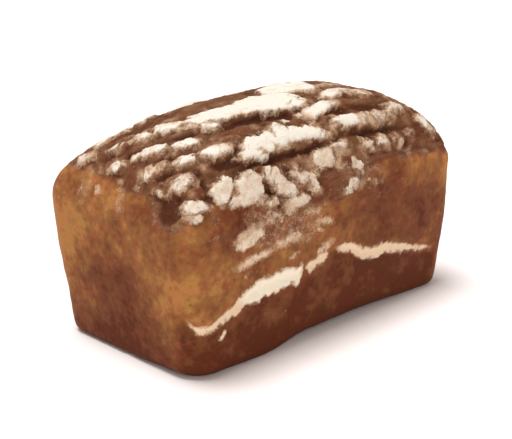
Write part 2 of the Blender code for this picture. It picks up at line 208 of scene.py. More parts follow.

# How the tin browned the walls: x, y, z and reach in mm, then how much darker or paler. The
# strongly paler spot at 98, -49 is not browning but a painted highlight down the front wall's far
# upright edge.
BROWNED_AND_LIT_EDGE = [
    (-97, 5, 42, 24, 0.3), (-100, 24, 72, 24, -0.32), (-97, 48, 50, 18, -0.45),
    (-98, -22, 58, 14, -0.22),
    (-95, -40, 44, 14, -0.25), (-92, 0, 8, 30, 0.4), (-94, -46, 68, 10, -0.05),
    # The spot at 98, -49 on the next line is a painted highlight down the front wall's far
    # upright edge.
    (38, -50, 56, 26, 0.32), (72, -50, 54, 20, 0.42), (98, -49, 60, 18, -0.5),
    (68, -53, 76, 17, -0.4), (-78, -49, 52, 18, -0.1), (-40, -52, 66, 24, -0.05),
    (30, 50, 50, 34, 0.35), (-50, 50, 58, 24, -0.2), (92, 30, 60, 22, -0.3),
    (96, -10, 40, 24, 0.4), (-20, 50, 10, 40, 0.35), (94, 0, 8, 34, 0.4),
    (-99, -22, 76, 11, 0.28), (-88, -46, 10, 14, -0.26), (-30, -48, 12, 34, -0.06),
    (-100, -38, 66, 11, 0.22), (-50, -52, 72, 20, 0.22), (20, -51, 66, 22, 0.14),
    (-68, -52, 74, 14, 0.4), (-30, -52, 74, 12, 0.22), (-98, 28, 84, 12, 0.34),
]


def length_setting(label, words, metres):
    """A setting that holds a length, with its label and description."""
    return FloatProperty(
        name=label, description=words, default=metres, unit="LENGTH", subtype="DISTANCE")


def colour_setting(label, words, colour):
    """A setting that holds an opaque colour, with its label and description."""
    return FloatVectorProperty(
        name=label, description=words, default=(*colour, 1), subtype="COLOR", size=4, min=0,
        max=1)


class RyeLoafShape(bpy.types.PropertyGroup):
    """The loaf's driving sizes."""

    rim_length: length_setting("Rim length", "Length at the top of the tin", 0.2)
    rim_width: length_setting("Rim width", "Width at the top of the tin", 0.1046)
    base_length: length_setting("Base length", "Length at the bottom of the tin", 0.1845)
    base_width: length_setting("Base width", "Width at the bottom of the tin", 0.096)
    wall_height: length_setting("Wall height", "Height of the tin", 0.085)
    crown_rise: length_setting("Crown rise", "How far the dough rose above the tin", 0.0283)
    corner_radius: length_setting("Corner radius", "Radius of the upright edges", 0.012)
    blunt_radius: length_setting("Blunt radius", "Radius of the near corner at the base", 0.0175)
    blunt_base_radius: length_setting(
        "Blunt base radius", "Radius of the base's edge at that corner", 0.008)
    base_radius: length_setting("Base radius", "Radius of the edge round the base", 0.0045)
    slack_base_radius: length_setting(
        "Slack base radius", "Radius of the base's edge along the front", 0.013)
    shoulder_radius: length_setting("Shoulder radius", "Radius between walls and crown", 0.016)
    wall_bow: length_setting("Wall bow", "How far the walls bow out half way up", 0.0013)


class RyeLoafRelief(bpy.types.PropertyGroup):
    """How deeply the crust is torn, folded and wrinkled."""

    plate_lift: length_setting("Plate lift", "How far the floured plates stand out", 0.0012)
    plate_edge: length_setting("Plate edge", "How wide a plate's sloping edge is", 0.0012)
    tear_depth: length_setting("Tear depth", "Depth of the long tears", 0.0024)
    crack_depth: length_setting("Crack depth", "Depth of the cracks between tears", 0.0004)
    crack_half_width: length_setting("Crack half width", "Half width of those cracks", 0.0012)
    fold_depth: length_setting("Fold depth", "Depth of the slanting fold", 0.0022)
    fold_half_width: length_setting("Fold half width", "Half width of the fold's groove", 0.0026)
    fold_step_back: length_setting(
        "Fold step", "How far the wall below the fold is set back", 0.0008)
    unevenness: length_setting("Unevenness", "Broad waviness of the whole loaf", 0.0007)
    fibre_height: length_setting("Fibre height", "Height of the torn crust's fibres", 0.0007)
    flour_thickness: length_setting("Flour thickness", "How thick the flour lies", 0.00018)


class RyeLoafFinish(bpy.types.PropertyGroup):
    """Colours of the baked crust and of the flour on it."""

    pale_wall: colour_setting("Pale wall", "Palest browning of the walls", (0.43, 0.193, 0.056))
    golden_wall: colour_setting(
        "Golden wall", "Usual browning of the walls", (0.285, 0.112, 0.036))
    brown_wall: colour_setting("Brown wall", "Well browned wall", (0.18, 0.057, 0.0215))
    dark_wall: colour_setting("Dark wall", "Darkest browning of the walls", (0.108, 0.026, 0.009))
    olive_tint: colour_setting(
        "Olive tint", "What turns patches of the walls olive", (0.93, 1.0, 0.97))
    red_tint: colour_setting("Red tint", "What turns patches of the walls red", (1.0, 0.92, 1.0))
    torn_crust: colour_setting("Torn crust", "Crust between the plates", (0.152, 0.065, 0.027))
    red_crust: colour_setting(
        "Red crust", "Redder patches of the torn crust", (0.135, 0.039, 0.017))
    # The tear colour is painted shade for the bottoms of the tears, the cracks and the rims
    # beside the plates.
    tear_shade: colour_setting("Tear bottom", "Crust deep in the tears", (0.06, 0.019, 0.009))
    dusty_crust: colour_setting(
        "Dusty crust", "Torn crust with flour rubbed in", (0.27, 0.136, 0.073))
    flour: colour_setting("Flour", "Thick flour on the plates", (0.8, 0.75, 0.655))
    thin_flour: colour_setting("Thin flour", "Thin flour with crust below", (0.6, 0.42, 0.275))
    # The fold flour and wall dust are paler than the crown's flour. This is partly thicker flour
    # in the fold and partly painted light for the walls, which take less light than the crown.
    lit_fold_flour: colour_setting("Fold flour", "Thick flour in the fold", (0.88, 0.8, 0.64))
    lit_wall_dust: colour_setting("Fold dust", "Thin flour on the walls", (0.8, 0.61, 0.42))


class RyeLoafScatter(bpy.types.PropertyGroup):
    """Loose bits on the crust."""

    clods: IntProperty(
        name="Flour clods", description="How many small lumps of flour there are",
        default=2200, min=0)
    clod_size: length_setting("Clod size", "Radius of the largest lumps of flour", 0.0006)
    flakes: IntProperty(
        name="Bran flakes", description="How many flakes of bran there are", default=420,
        min=0)
    flake_size: length_setting("Flake size", "Radius of the largest flakes of bran", 0.001)
    seed: IntProperty(
        name="Seed", description="Start of the random draws", default=5, min=0)


class RyeLoafStudio(bpy.types.PropertyGroup):
    """The camera and the light."""

    azimuth: FloatProperty(
        name="Azimuth", description="Turn of the camera round the loaf",
        default=math.radians(-45.79), subtype="ANGLE")
    elevation: FloatProperty(
        name="Elevation", description="Height of the camera above the horizon",
        default=math.radians(18.22), subtype="ANGLE")
    distance: length_setting("Distance", "From the camera to the middle of the loaf", 0.5899)
    middle_height: length_setting("Aim height", "Height that the camera aims at", 0.0476)
    lens: FloatProperty(
        name="Lens", description="Focal length on a 36 mm wide sensor", default=79.86,
        subtype="DISTANCE_CAMERA")
    key_strength: FloatProperty(
        name="Key light", description="Strength of the main soft light", default=2.85)
    key_softness: FloatProperty(
        name="Key softness", description="How wide the main light is",
        default=math.radians(30), subtype="ANGLE")
    front_strength: FloatProperty(
        name="Front light", description="Strength of the soft light from the camera's side",
        default=0.85)
    fill_strength: FloatProperty(
        name="Fill light", description="Strength of the light from all round", default=0.4)
    fill_colour: colour_setting(
        "Fill colour", "Colour of the light from all round", (1.0, 0.87, 0.8))
    floor_colour: colour_setting("Floor", "Colour of the floor", (0.98, 0.94, 0.93))


def smoothstep(low, high, value):
    """0 below low, 1 above high, and a soft ramp between them."""
    t = np.clip((value - low) / (high - low), 0.0, 1.0)
    return t * t * (3.0 - 2.0 * t)


def cell_number(cells, seed):
    """A repeatable number from 0 to 1 for each whole-numbered cell."""
    mixed = cells[..., 0] * 73856093 ^ cells[..., 1] * 19349663 ^ cells[..., 2] * 83492791
    mixed = (mixed ^ (seed * 374761393)) & 0xFFFFFFFF
    mixed = ((mixed ^ (mixed >> 15)) * 2246822519) & 0xFFFFFFFF
    mixed = ((mixed ^ (mixed >> 13)) * 3266489917) & 0xFFFFFFFF
    return ((mixed ^ (mixed >> 16)) & 0xFFFFFF) / float(0xFFFFFF)


def three_numbers(make, seed):
    """Three numbers for each point, each made from a seed of its own."""
    return np.stack([make(seed + k) for k in range(3)], axis=-1)


def ripple(points, size, seed):
    """Smooth noise from about -1 to 1, with bumps of the given size."""
    scaled = points / size
    base = np.floor(scaled).astype(np.int64)
    part = scaled - base
    blend = part * part * part * (part * (part * 6.0 - 15.0) + 10.0)
    total = np.zeros(len(points))
    for corner in np.ndindex(2, 2, 2):
        cell = base + np.array(corner)
        slope = three_numbers(lambda start: cell_number(cell, start), seed) * 2.0 - 1.0
        share = np.prod(np.where(np.array(corner) == 1, blend, 1.0 - blend), axis=-1)
        total += share * ((part - np.array(corner)) * slope).sum(axis=-1)
    return total * 1.6


def scattered_cells(points, size, stretch, seed):
    """Splits the surface into cells round scattered spots: how far each point is from the
    nearest seam between them, in metres, where its own spot is, and a number from 0 to 1
    for its own cell."""
    lengths = size * np.array([stretch, 1.0, 1.0])
    scaled = points / lengths
    base = np.floor(scaled).astype(np.int64)
    nearest = np.full(len(points), 9.0)
    second = np.full(len(points), 9.0)
    own_spot = np.zeros_like(points)
    number = np.zeros(len(points))
    for step in np.ndindex(3, 3, 3):
        cell = base + np.array(step) - 1
        spot = cell + three_numbers(lambda start: cell_number(cell, start), seed)
        gap = np.linalg.norm(spot - scaled, axis=-1)
        second = np.minimum(second, np.maximum(nearest, gap))
        own_spot = np.where((gap < nearest)[:, None], spot, own_spot)
        number = np.where(gap < nearest, cell_number(cell, seed + 3), number)
        nearest = np.minimum(nearest, gap)
    return (second - nearest) * size / 2.0, own_spot * lengths, number


def blobs(points, spots):
    """The sum of soft round spots: x, y, z and reach in millimetres, then the amount."""
    total = np.zeros(len(points))
    for x, y, z, reach, amount in spots:
        away = np.linalg.norm(points - np.array([x, y, z]) * MM, axis=-1)
        total += amount * np.exp(-((away / (reach * MM)) ** 2))
    return total


def half_rim(shape):
    """Half the length and half the width of the tin's rim."""
    return shape.rim_length / 2, shape.rim_width / 2


def unit(vectors):
    """The same directions, each one long."""
    return vectors / np.linalg.norm(vectors, axis=-1, keepdims=True)


def near_base_corner(x, y, z, shape):
    """How near each point is to the one corner of the base that the dough didn't fill."""
    half_x, half_y = half_rim(shape)
    away = np.hypot(x + half_x, y + half_y)
    return smoothstep(50 * MM, 14 * MM, away) * smoothstep(60 * MM, 4 * MM, z)


def slack_in_front(x, y, shape):
    """How far the dough fell short of the tin's lower edge along the front wall."""
    half_x, half_y = half_rim(shape)
    slack = smoothstep(-0.5 * half_x, -0.1 * half_x, x)
    slack = slack * smoothstep(0.95 * half_x, 0.2 * half_x, x)
    return slack * smoothstep(-0.1 * half_y, -0.6 * half_y, y)


def round_plan(x, y, blunt, shape):
    """Pulls the corners of the rim's rectangle in to arcs. Also gives each point's depth
    inside the outline, and its direction out of the corner's middle."""
    half_x, half_y = half_rim(shape)
    radius = shape.corner_radius + (shape.blunt_radius - shape.corner_radius) * blunt
    inner_x = np.clip(x, radius - half_x, half_x - radius)
    inner_y = np.clip(y, radius - half_y, half_y - radius)
    out_x, out_y = x - inner_x, y - inner_y
    reach = np.maximum(np.hypot(out_x, out_y), 1e-9)
    square = np.maximum(np.abs(out_x), np.abs(out_y))
    out_x, out_y = out_x * square / reach, out_y * square / reach
    inside = np.minimum(half_x - np.abs(x), half_y - np.abs(y))
    depth = np.where(square > 1e-9, radius - square, inside)
    return inner_x + out_x, inner_y + out_y, depth, out_x, out_y, np.maximum(square, 1e-9)


def flared(place, height, base, rim, bow):
    """A coordinate after the walls' flare, from the base's size to the rim's, and their bow."""
    place = place * (base + (rim - base) * height) / rim
    return place + np.sign(place) * bow * np.abs(place / (rim / 2)) ** 4


def loaf_form(cube, shape):
    """The smooth loaf: where each point of a cube from -1 to 1 goes."""
    u, v, w = cube.T
    upper = w > 0
    wall = shape.wall_height
    z = (w + 1) / 2 * wall
    half_x, half_y = half_rim(shape)
    blunt = near_base_corner(u * half_x, v * half_y, z, shape)
    x, y, depth, out_x, out_y, reach = round_plan(u * half_x, v * half_y, blunt, shape)

    # Rounds the base edge and the shoulder.
    slack = slack_in_front(u * half_x, v * half_y, shape)
    lower_radius = shape.base_radius + (shape.blunt_base_radius - shape.base_radius) * blunt
    lower_radius = lower_radius + (shape.slack_base_radius - shape.base_radius) * slack
    radius = np.where(upper, shape.shoulder_radius, lower_radius)
    side = np.maximum(radius - depth, 0.0)
    rise = np.maximum(np.where(upper, z - wall, -z) + radius, 0.0)
    trim = 1.0 - np.maximum(side, rise) / np.maximum(np.hypot(side, rise), 1e-9)
    trim = np.where((side > 0) & (rise > 0), trim, 0.0)
    x = x - out_x / reach * side * trim
    y = y - out_y / reach * side * trim
    z = z - np.where(upper, 1.0, -1.0) * rise * trim

    # Flares the walls and bows them out.
    height = z / wall
    bow = shape.wall_bow * 4.0 * height * (1.0 - height)
    x = flared(x, height, shape.base_length, shape.rim_length, bow)
    y = flared(y, height, shape.base_width, shape.rim_width, bow)

    # Lifts the crown.
    swell = 1.0
    for place, half, top, (power, fullness) in (
        (x, half_x, CROWN_TOP[0], CROWN_ALONG),
        (y, half_y, CROWN_TOP[1], CROWN_ACROSS),
    ):
        off = np.clip(place / half, -1.0, 1.0) - top
        off = off / np.where(off > 0, 1.0 - top, 1.0 + top)
        swell = swell * np.maximum(1.0 - np.abs(off) ** power, 0.0) ** fullness
    z = z + shape.crown_rise * swell * np.clip(height, 0.0, 1.0) ** 4
    return np.stack([x, y, z], axis=-1)


def cube_place(along, across, shape):
    """The cube's point for a place on the loaf: metres along it, and metres across it."""
    half_x, half_y = half_rim(shape)
    down = max(abs(across) - half_y, abs(along) - half_x, 0.0)
    return (
        max(-1.0, min(1.0, along / half_x)),
        max(-1.0, min(1.0, across / half_y)),
        1.0 - 2.0 * down / shape.wall_height,
    )


def back_plates():
    """Rows of plates for the crown's back half, one after another along each row."""
    chance = np.random.default_rng(BACK_SEED)
    plates = []
    for row in BACK_ROWS:
        x = -BACK_SPAN + chance.uniform(0, 14)
        while x < BACK_SPAN - 8:
            half = chance.uniform(5, 17)
            middle = (x + half, row + chance.uniform(-2, 2))
            width, turn = chance.uniform(2.5, 5), chance.uniform(-12, 12)
            plates.append((*middle, half, width, turn, chance.uniform(0.55, 1.0)))
            x += 2 * half + chance.uniform(4, 16)
    return plates


def patch_axes(along, across, turn, shape):
    """A patch's middle on the smooth loaf, and its long, short and outward directions."""
    here = np.array(cube_place(along, across, shape))
    nearby = here + np.array([[0, 0, 0], [0.01, 0, 0], [-0.01, 0, 0]])
    middle, ahead, behind = loaf_form(nearby, shape)
    half_x, half_y = half_rim(shape)
    forward = unit(ahead - behind)
    if abs(across) > half_y:
        outward = np.array([0.0, math.copysign(1.0, across), 0.0])
    elif abs(along) > half_x:
        outward = np.array([math.copysign(1.0, along), 0.0, 0.0])
        forward = np.array([0.0, 0.0, -1.0])
    else:
        outward = np.array([0.0, (across / half_y) ** 3, 1.0])
    outward = unit(outward - forward * outward.dot(forward))
    sideways = np.cross(outward, forward)
    angle = math.radians(turn)
    long_way = forward * math.cos(angle) + sideways * math.sin(angle)
    return middle, long_way, np.cross(outward, long_way), outward


def patch_depths(points, patches, shape, edge):
    """How far inside the patches each point is, in metres, and the amount there: each
    patch's last number, fading out over its edge."""
    deepest = np.full(len(points), -1.0)
    amount = np.zeros(len(points))
    for along, across, half_length, half_width, turn, share in patches:
        middle, long_way, short_way, outward = patch_axes(along * MM, across * MM, turn, shape)
        off = points - middle
        ratio = (
            np.abs(off @ long_way / (half_length * MM)) ** PATCH_SQUARENESS
            + np.abs(off @ short_way / (half_width * MM)) ** PATCH_SQUARENESS
            + np.abs(off @ outward / (PATCH_REACH * half_width * MM)) ** PATCH_SQUARENESS
        ) ** (1.0 / PATCH_SQUARENESS)
        depth = (1.0 - ratio) * half_width * MM
        deepest = np.maximum(deepest, depth)
        amount = np.maximum(amount, share * smoothstep(-edge, edge, depth))
    return deepest, amount


def way_round(points):
    """The distance along the front wall, and on round the near corner as it goes down."""
    return points[:, 0] - np.maximum(points[:, 1] - FOLD_CORNER * MM, 0.0)


def follow(line, along):
    """What a list of places gives at each distance along it, in metres."""
    line = np.array(line, float) * MM
    return [np.interp(along, line[:, 0], values) for values in line.T[1:]]


def fold_fields(points, along, wander, relief):
    """The fold, a groove with flour in it: how far it sets the wall back, how far a point
    lies below it, how much flour it holds there, and how thick that is."""
    x, y, z = points.T
    fold_height, flour_half = follow(FOLD_LINE, along)
    front = smoothstep(*FOLD_BEHIND, y) * smoothstep(*FOLD_START, along)
    front *= 1.0 - smoothstep(*FOLD_END, x)
    off = z - fold_height - wander[:, 2] * 0.3
    groove = np.exp(-((off / relief.fold_half_width) ** 2))
    below = smoothstep(0.0, -2 * relief.fold_half_width, off) * front
    set_back = front * relief.fold_depth * groove
    set_back += below * smoothstep(2 * MM, 14 * MM, z) * relief.fold_step_back
    rough = 1.0 + 0.35 * ripple(points, 4 * MM, 81) + 0.2 * ripple(points, 9 * MM, 84)
    in_fold = front * smoothstep(-3 * MM, 3 * MM, flour_half * rough - np.abs(off))
    thick = 0.35 + 0.6 * smoothstep(3.6 * MM, 5.1 * MM, flour_half)
    return set_back, below, in_fold, thick * in_fold


def wall_browning_and_lit_edge(points, normals, below):
    """How brown the walls were baked, plus a painted highlight down the front wall's far upright
    edge: about 0 where they are palest, and 1 where darkest.
    """
    browning = USUAL_BROWNING + blobs(points, BROWNED_AND_LIT_EDGE)
    browning += BROWN_CLOUDS * ripple(points, 16 * MM, 91)
    browning += SMALL_BROWN_CLOUDS * ripple(points, 5 * MM, 94)
    browning += BROWN_BELOW_FOLD * below
    browning += BROWN_NEAR_BASE * smoothstep(26 * MM, 4 * MM, points[:, 2])
    return browning + BROWN_UNDERSIDE * (1.0 - smoothstep(-0.6, -0.2, normals[:, 2]))


def crust_fields(points, normals, shape, relief):
    """What tearing, folding, baking and dusting did at each point of the smooth loaf: how far the
    crust stands out, and the shares that colour it. The torn share also paints shade into the
    tears, the cracks and the rims beside the plates. The browning share holds a painted highlight
    on the front wall's far upright edge."""
    y, z = points[:, 1], points[:, 2]
    along = way_round(points)

    # The skin's small flakes, and how far the edges of plates, tears and dustings wander.
    wander = np.zeros_like(points)
    for size, reach, seed in WANDERS:
        wander += three_numbers(lambda start: ripple(points, size, start), seed) * reach
    seam, spot, flake = scattered_cells(points, FLAKE_SIZE, FLAKE_STRETCH, 9)
    warped = points + wander + FLAKE_SHARE * (spot - points)

    # Where there is torn crust, a plate, a tear, a rim of torn skin or loose flour. The rim of
    # torn skin beside a plate is painted dark, as shade below the plate's edge.
    edge, = follow(CRUST_EDGE, along)
    crust = smoothstep(edge, edge + CRUST_FADE, z + 1.6 * wander[:, 2])
    inside, cover = patch_depths(warped, PLATES + back_plates(), shape, PLATE_FADE)
    _, dusted = patch_depths(warped, DUSTINGS, shape, DUST_FADE)
    _, filmed = patch_depths(points + wander, FILMS, shape, FILM_FADE)
    _, torn = patch_depths(warped, TEARS, shape, TEAR_FADE)
    plate = smoothstep(-0.5 * relief.plate_edge, relief.plate_edge, inside)
    crust = np.maximum(crust, plate)
    bare = crust * (1.0 - plate)
    near = smoothstep(-3 * MM, -0.4 * MM, inside)
    side = smoothstep(-0.35, 0.35, ripple(points, 7 * MM, 58))
    # The rim dips a little and is painted dark, as shade below the plate's edge.
    rim = near * side

    # How far the crust stands out: plates, tears, cracks, fibres, flakes and broad bends.
    crack = 1.0 - smoothstep(
        0.0, relief.crack_half_width, scattered_cells(warped, 13 * MM, 3.0, 5)[0])
    split = 1.0 - smoothstep(0.1 * MM, 0.55 * MM, seam)
    split *= smoothstep(0.05, 0.45, ripple(points, 12 * MM, 57))
    fibrous = points * np.array([0.35, 1.0, 1.0])
    fibres = ripple(fibrous, 4.5 * MM, 51) + 0.6 * ripple(fibrous, 2.2 * MM, 54)
    grain = ripple(points, 2.6 * MM, 61)
    height = crust * relief.plate_lift * (plate - 0.5)
    height -= 0.25 * bare * relief.tear_depth * rim
    height -= bare * relief.tear_depth * torn
    height -= crust * relief.crack_depth * crack * (1.0 - 0.7 * plate)
    height += bare * relief.fibre_height * fibres
    height += crust * plate * (SKIN_GRAIN * grain - FLAKE_SPLIT * split)
    height += crust * FLAKE_STEP * (flake - 0.5)
    height += relief.unevenness * ripple(points, 34 * MM, 41) * smoothstep(4 * MM, 20 * MM, z)
    height += (1.0 - crust) * WALL_GRAIN * (ripple(points, 6 * MM, 71) + 0.5 * grain)
    height += blobs(points, SWELLINGS) * MM

    # The flour on the plates, on bare crust and in the fold.
    set_back, below, in_fold, fold_thickness = fold_fields(points, along, wander, relief)
    height -= set_back
    flour = cover + (0.16 * (flake - 0.5) - 0.3 * split) * smoothstep(0.1, 0.4, cover)
    flour = np.maximum(flour, dusted)
    most = 1.0 - FRONT_THINNING * smoothstep(*FRONT_EDGE, y)
    flour_depth = np.maximum(np.minimum(flour, most), fold_thickness)
    flour = np.maximum(flour, 0.92 * in_fold)
    height += relief.flour_thickness * smoothstep(0.45, 0.6, flour) * (1.0 + 0.6 * grain)
    height += smoothstep(0.4, 0.8, in_fold) * FOLD_HEAP

    # The haze of flour that is rubbed in, more on bare crust and under the films.
    haze = smoothstep(58 * MM, 76 * MM, z) * (0.15 + 0.3 * ripple(points, 9 * MM, 97))
    dusty = 0.12 + 0.6 * ripple(points, 7 * MM, 98) + 0.3 * (flake - 0.5)
    haze = np.maximum(haze, crust * (dusty + 0.35 * near * (1.0 - side)))
    haze = np.maximum(haze, filmed * (0.85 + 0.3 * ripple(points, 3 * MM, 99)))
    haze *= 1.0 - 0.9 * torn
    return height, {
        "crust": crust,
        "flour": flour,
        "flour_depth": flour_depth,
        # Painted shade: this share darkens the tears, the cracks and the rims beside the plates.
        "torn": bare * np.clip(np.maximum(torn, 0.75 * np.maximum(0.7 * crack, rim)), 0.0, 1.0),
        # The browning share also holds the painted highlight on the front wall's far upright
        # edge.
        "browning": wall_browning_and_lit_edge(points, normals, below),
        "haze": np.clip(haze, 0.0, 1.0),
    }


def new_node(tree, kind, options=None, **values):
    """Adds a node, sets its options, and sets or links its inputs. A value is a socket or
    a constant, and its key is the input's name, or i and its number."""
    made = tree.nodes.new(kind)
    for name, value in (options or {}).items():
        setattr(made, name, value)
    for key, value in values.items():
        numbered = key[0] == "i" and key[1:].isdigit()
        socket = made.inputs[int(key[1:]) if numbered else key.replace("_", " ")]
        if isinstance(value, bpy.types.NodeSocket):
            tree.links.new(value, socket)
        else:
            socket.default_value = value
    return made


def calculate(tree, operation, first, second=0.0, third=0.0):
    """A Math node's result."""
    options = {"operation": operation}
    return new_node(tree, "ShaderNodeMath", options, i0=first, i1=second, i2=third).outputs[0]


def add_scaled(tree, value, factor, added):
    """A value times a factor, added to another value."""
    return calculate(tree, "MULTIPLY_ADD", value, factor, added)


def ramp_between(tree, value, low, high, start=0.0, end=1.0):
    """A soft step from start to end as the value goes from low to high."""
    made = new_node(
        tree, "ShaderNodeMapRange", {"interpolation_type": "SMOOTHSTEP"}, Value=value,
        From_Min=low, From_Max=high, To_Min=start, To_Max=end)
    return made.outputs[0]


def mix_colours(tree, factor, first, second, blend="MIX"):
    """A colour between two others."""
    options = {"data_type": "RGBA", "blend_type": blend}
    made = new_node(tree, "ShaderNodeMix", options, i0=factor, i6=first, i7=second)
    return made.outputs[2]


def fade(tree, value, low, high, first, second):
    """Goes softly from the first colour to the second as the value goes from low to high."""
    return mix_colours(tree, ramp_between(tree, value, low, high), first, second)


def noise(tree, place, size, detail=2.0, roughness=0.5):
    """Noise with bumps of the given size in metres, from 0 to 1."""
    made = new_node(
        tree, "ShaderNodeTexNoise", Vector=place, Scale=1.0 / size, Detail=detail,
        Roughness=roughness)
    return made.outputs[0]


def stretched(tree, place, along, across, up):
    """The place, with each axis multiplied."""
    made = new_node(tree, "ShaderNodeMapping", Vector=place, Scale=(along, across, up))
    return made.outputs[0]


def attribute(tree, name):
    """A share that is stored on the mesh."""
    return new_node(tree, "ShaderNodeAttribute", {"attribute_name": name}).outputs["Fac"]


def new_group(name, inputs, outputs):
    """An empty shader node group with named sockets, and its input and output nodes."""
    group = bpy.data.node_groups.new(name, "ShaderNodeTree")
    for direction, sockets in (("INPUT", inputs), ("OUTPUT", outputs)):
        for socket_name, kind in sockets:
            group.interface.new_socket(
                name=socket_name, in_out=direction, socket_type="NodeSocket" + kind)
    return group, group.nodes.new("NodeGroupInput"), group.nodes.new("NodeGroupOutput")


def flour_powder_group():
    """Flour: its colour from thin to thick, and its powdery height."""
    group, given, wanted = new_group(
        "Flour powder",
        [("Place", "Vector"), ("Thick", "Color"), ("Thin", "Color"), ("Cover", "Float")],
        [("Colour", "Color"), ("Height", "Float")])
    place = given.outputs["Place"]
    patchy = noise(group, place, 4.5 * MM, 4.0, 0.6)
    powder = noise(group, place, 0.9 * MM, 3.0, 0.65)
    share = add_scaled(group, patchy, 1.3, -1.95)
    share = add_scaled(group, powder, 0.7, share)
    share = add_scaled(group, given.outputs["Cover"], 2.3, share)
    colour = fade(group, share, 0.0, 1.0, given.outputs["Thin"], given.outputs["Thick"])
    group.links.new(colour, wanted.inputs["Colour"])
    group.links.new(add_scaled(group, patchy, 0.6, powder), wanted.inputs["Height"])
    return group


def baked_grain_group():
    """Fine pores and specks of baked dough: a share that darkens, and a height."""
    group, given, wanted = new_group(
        "Baked grain",
        [("Place", "Vector"), ("Size", "Float")],
        [("Dark", "Float"), ("Height", "Float")])
    scale = calculate(group, "DIVIDE", 1.0, given.outputs["Size"])
    fine = new_node(
        group, "ShaderNodeTexNoise", Vector=given.outputs["Place"], Scale=scale, Detail=4.0,
        Roughness=0.6).outputs[0]
    cells = new_node(
        group, "ShaderNodeTexVoronoi", {"feature": "F1"}, Vector=given.outputs["Place"],
        Scale=scale).outputs["Distance"]
    pore = ramp_between(group, cells, 0.12, 0.34, 1.0, 0.0)
    patch = ramp_between(group, fine, 0.50, 0.68)
    pore = calculate(group, "MULTIPLY", pore, patch)
    group.links.new(pore, wanted.inputs["Dark"])
    group.links.new(add_scaled(group, pore, -0.8, fine), wanted.inputs["Height"])
    return group


def shared_group(tree, name, build, **values):
    """A use of the node group of that name, which is built when it is first asked for."""
    group = bpy.data.node_groups.get(name) or build()
    return new_node(tree, "ShaderNodeGroup", {"node_tree": group}, **values)


def new_material(name, roughness, gloss=BREAD_GLOSS):
    """A material with a plain Principled BSDF, and that shader."""
    material = bpy.data.materials.new(name)
    material.use_nodes = True
    shader = material.node_tree.nodes["Principled BSDF"]
    shader.inputs["Metallic"].default_value = 0.0
    shader.inputs["Specular IOR Level"].default_value = gloss
    shader.inputs["Roughness"].default_value = roughness
    return material, shader


def patterned_material(name, roughness):
    """A new material for a piece, its nodes, its shader and the place that patterns read."""
    material, shader = new_material(name, roughness)
    tree = material.node_tree
    return material, tree, shader, new_node(tree, "ShaderNodeTexCoord").outputs["Object"]


def cover_piece(tree, shader, colour, height, distance, strength):
    """Gives the shader its colour and a fine relief."""
    tree.links.new(colour, shader.inputs["Base Color"])
    bump = new_node(
        tree, "ShaderNodeBump", Height=height, Distance=distance, Strength=strength)
    tree.links.new(bump.outputs[0], shader.inputs["Normal"])


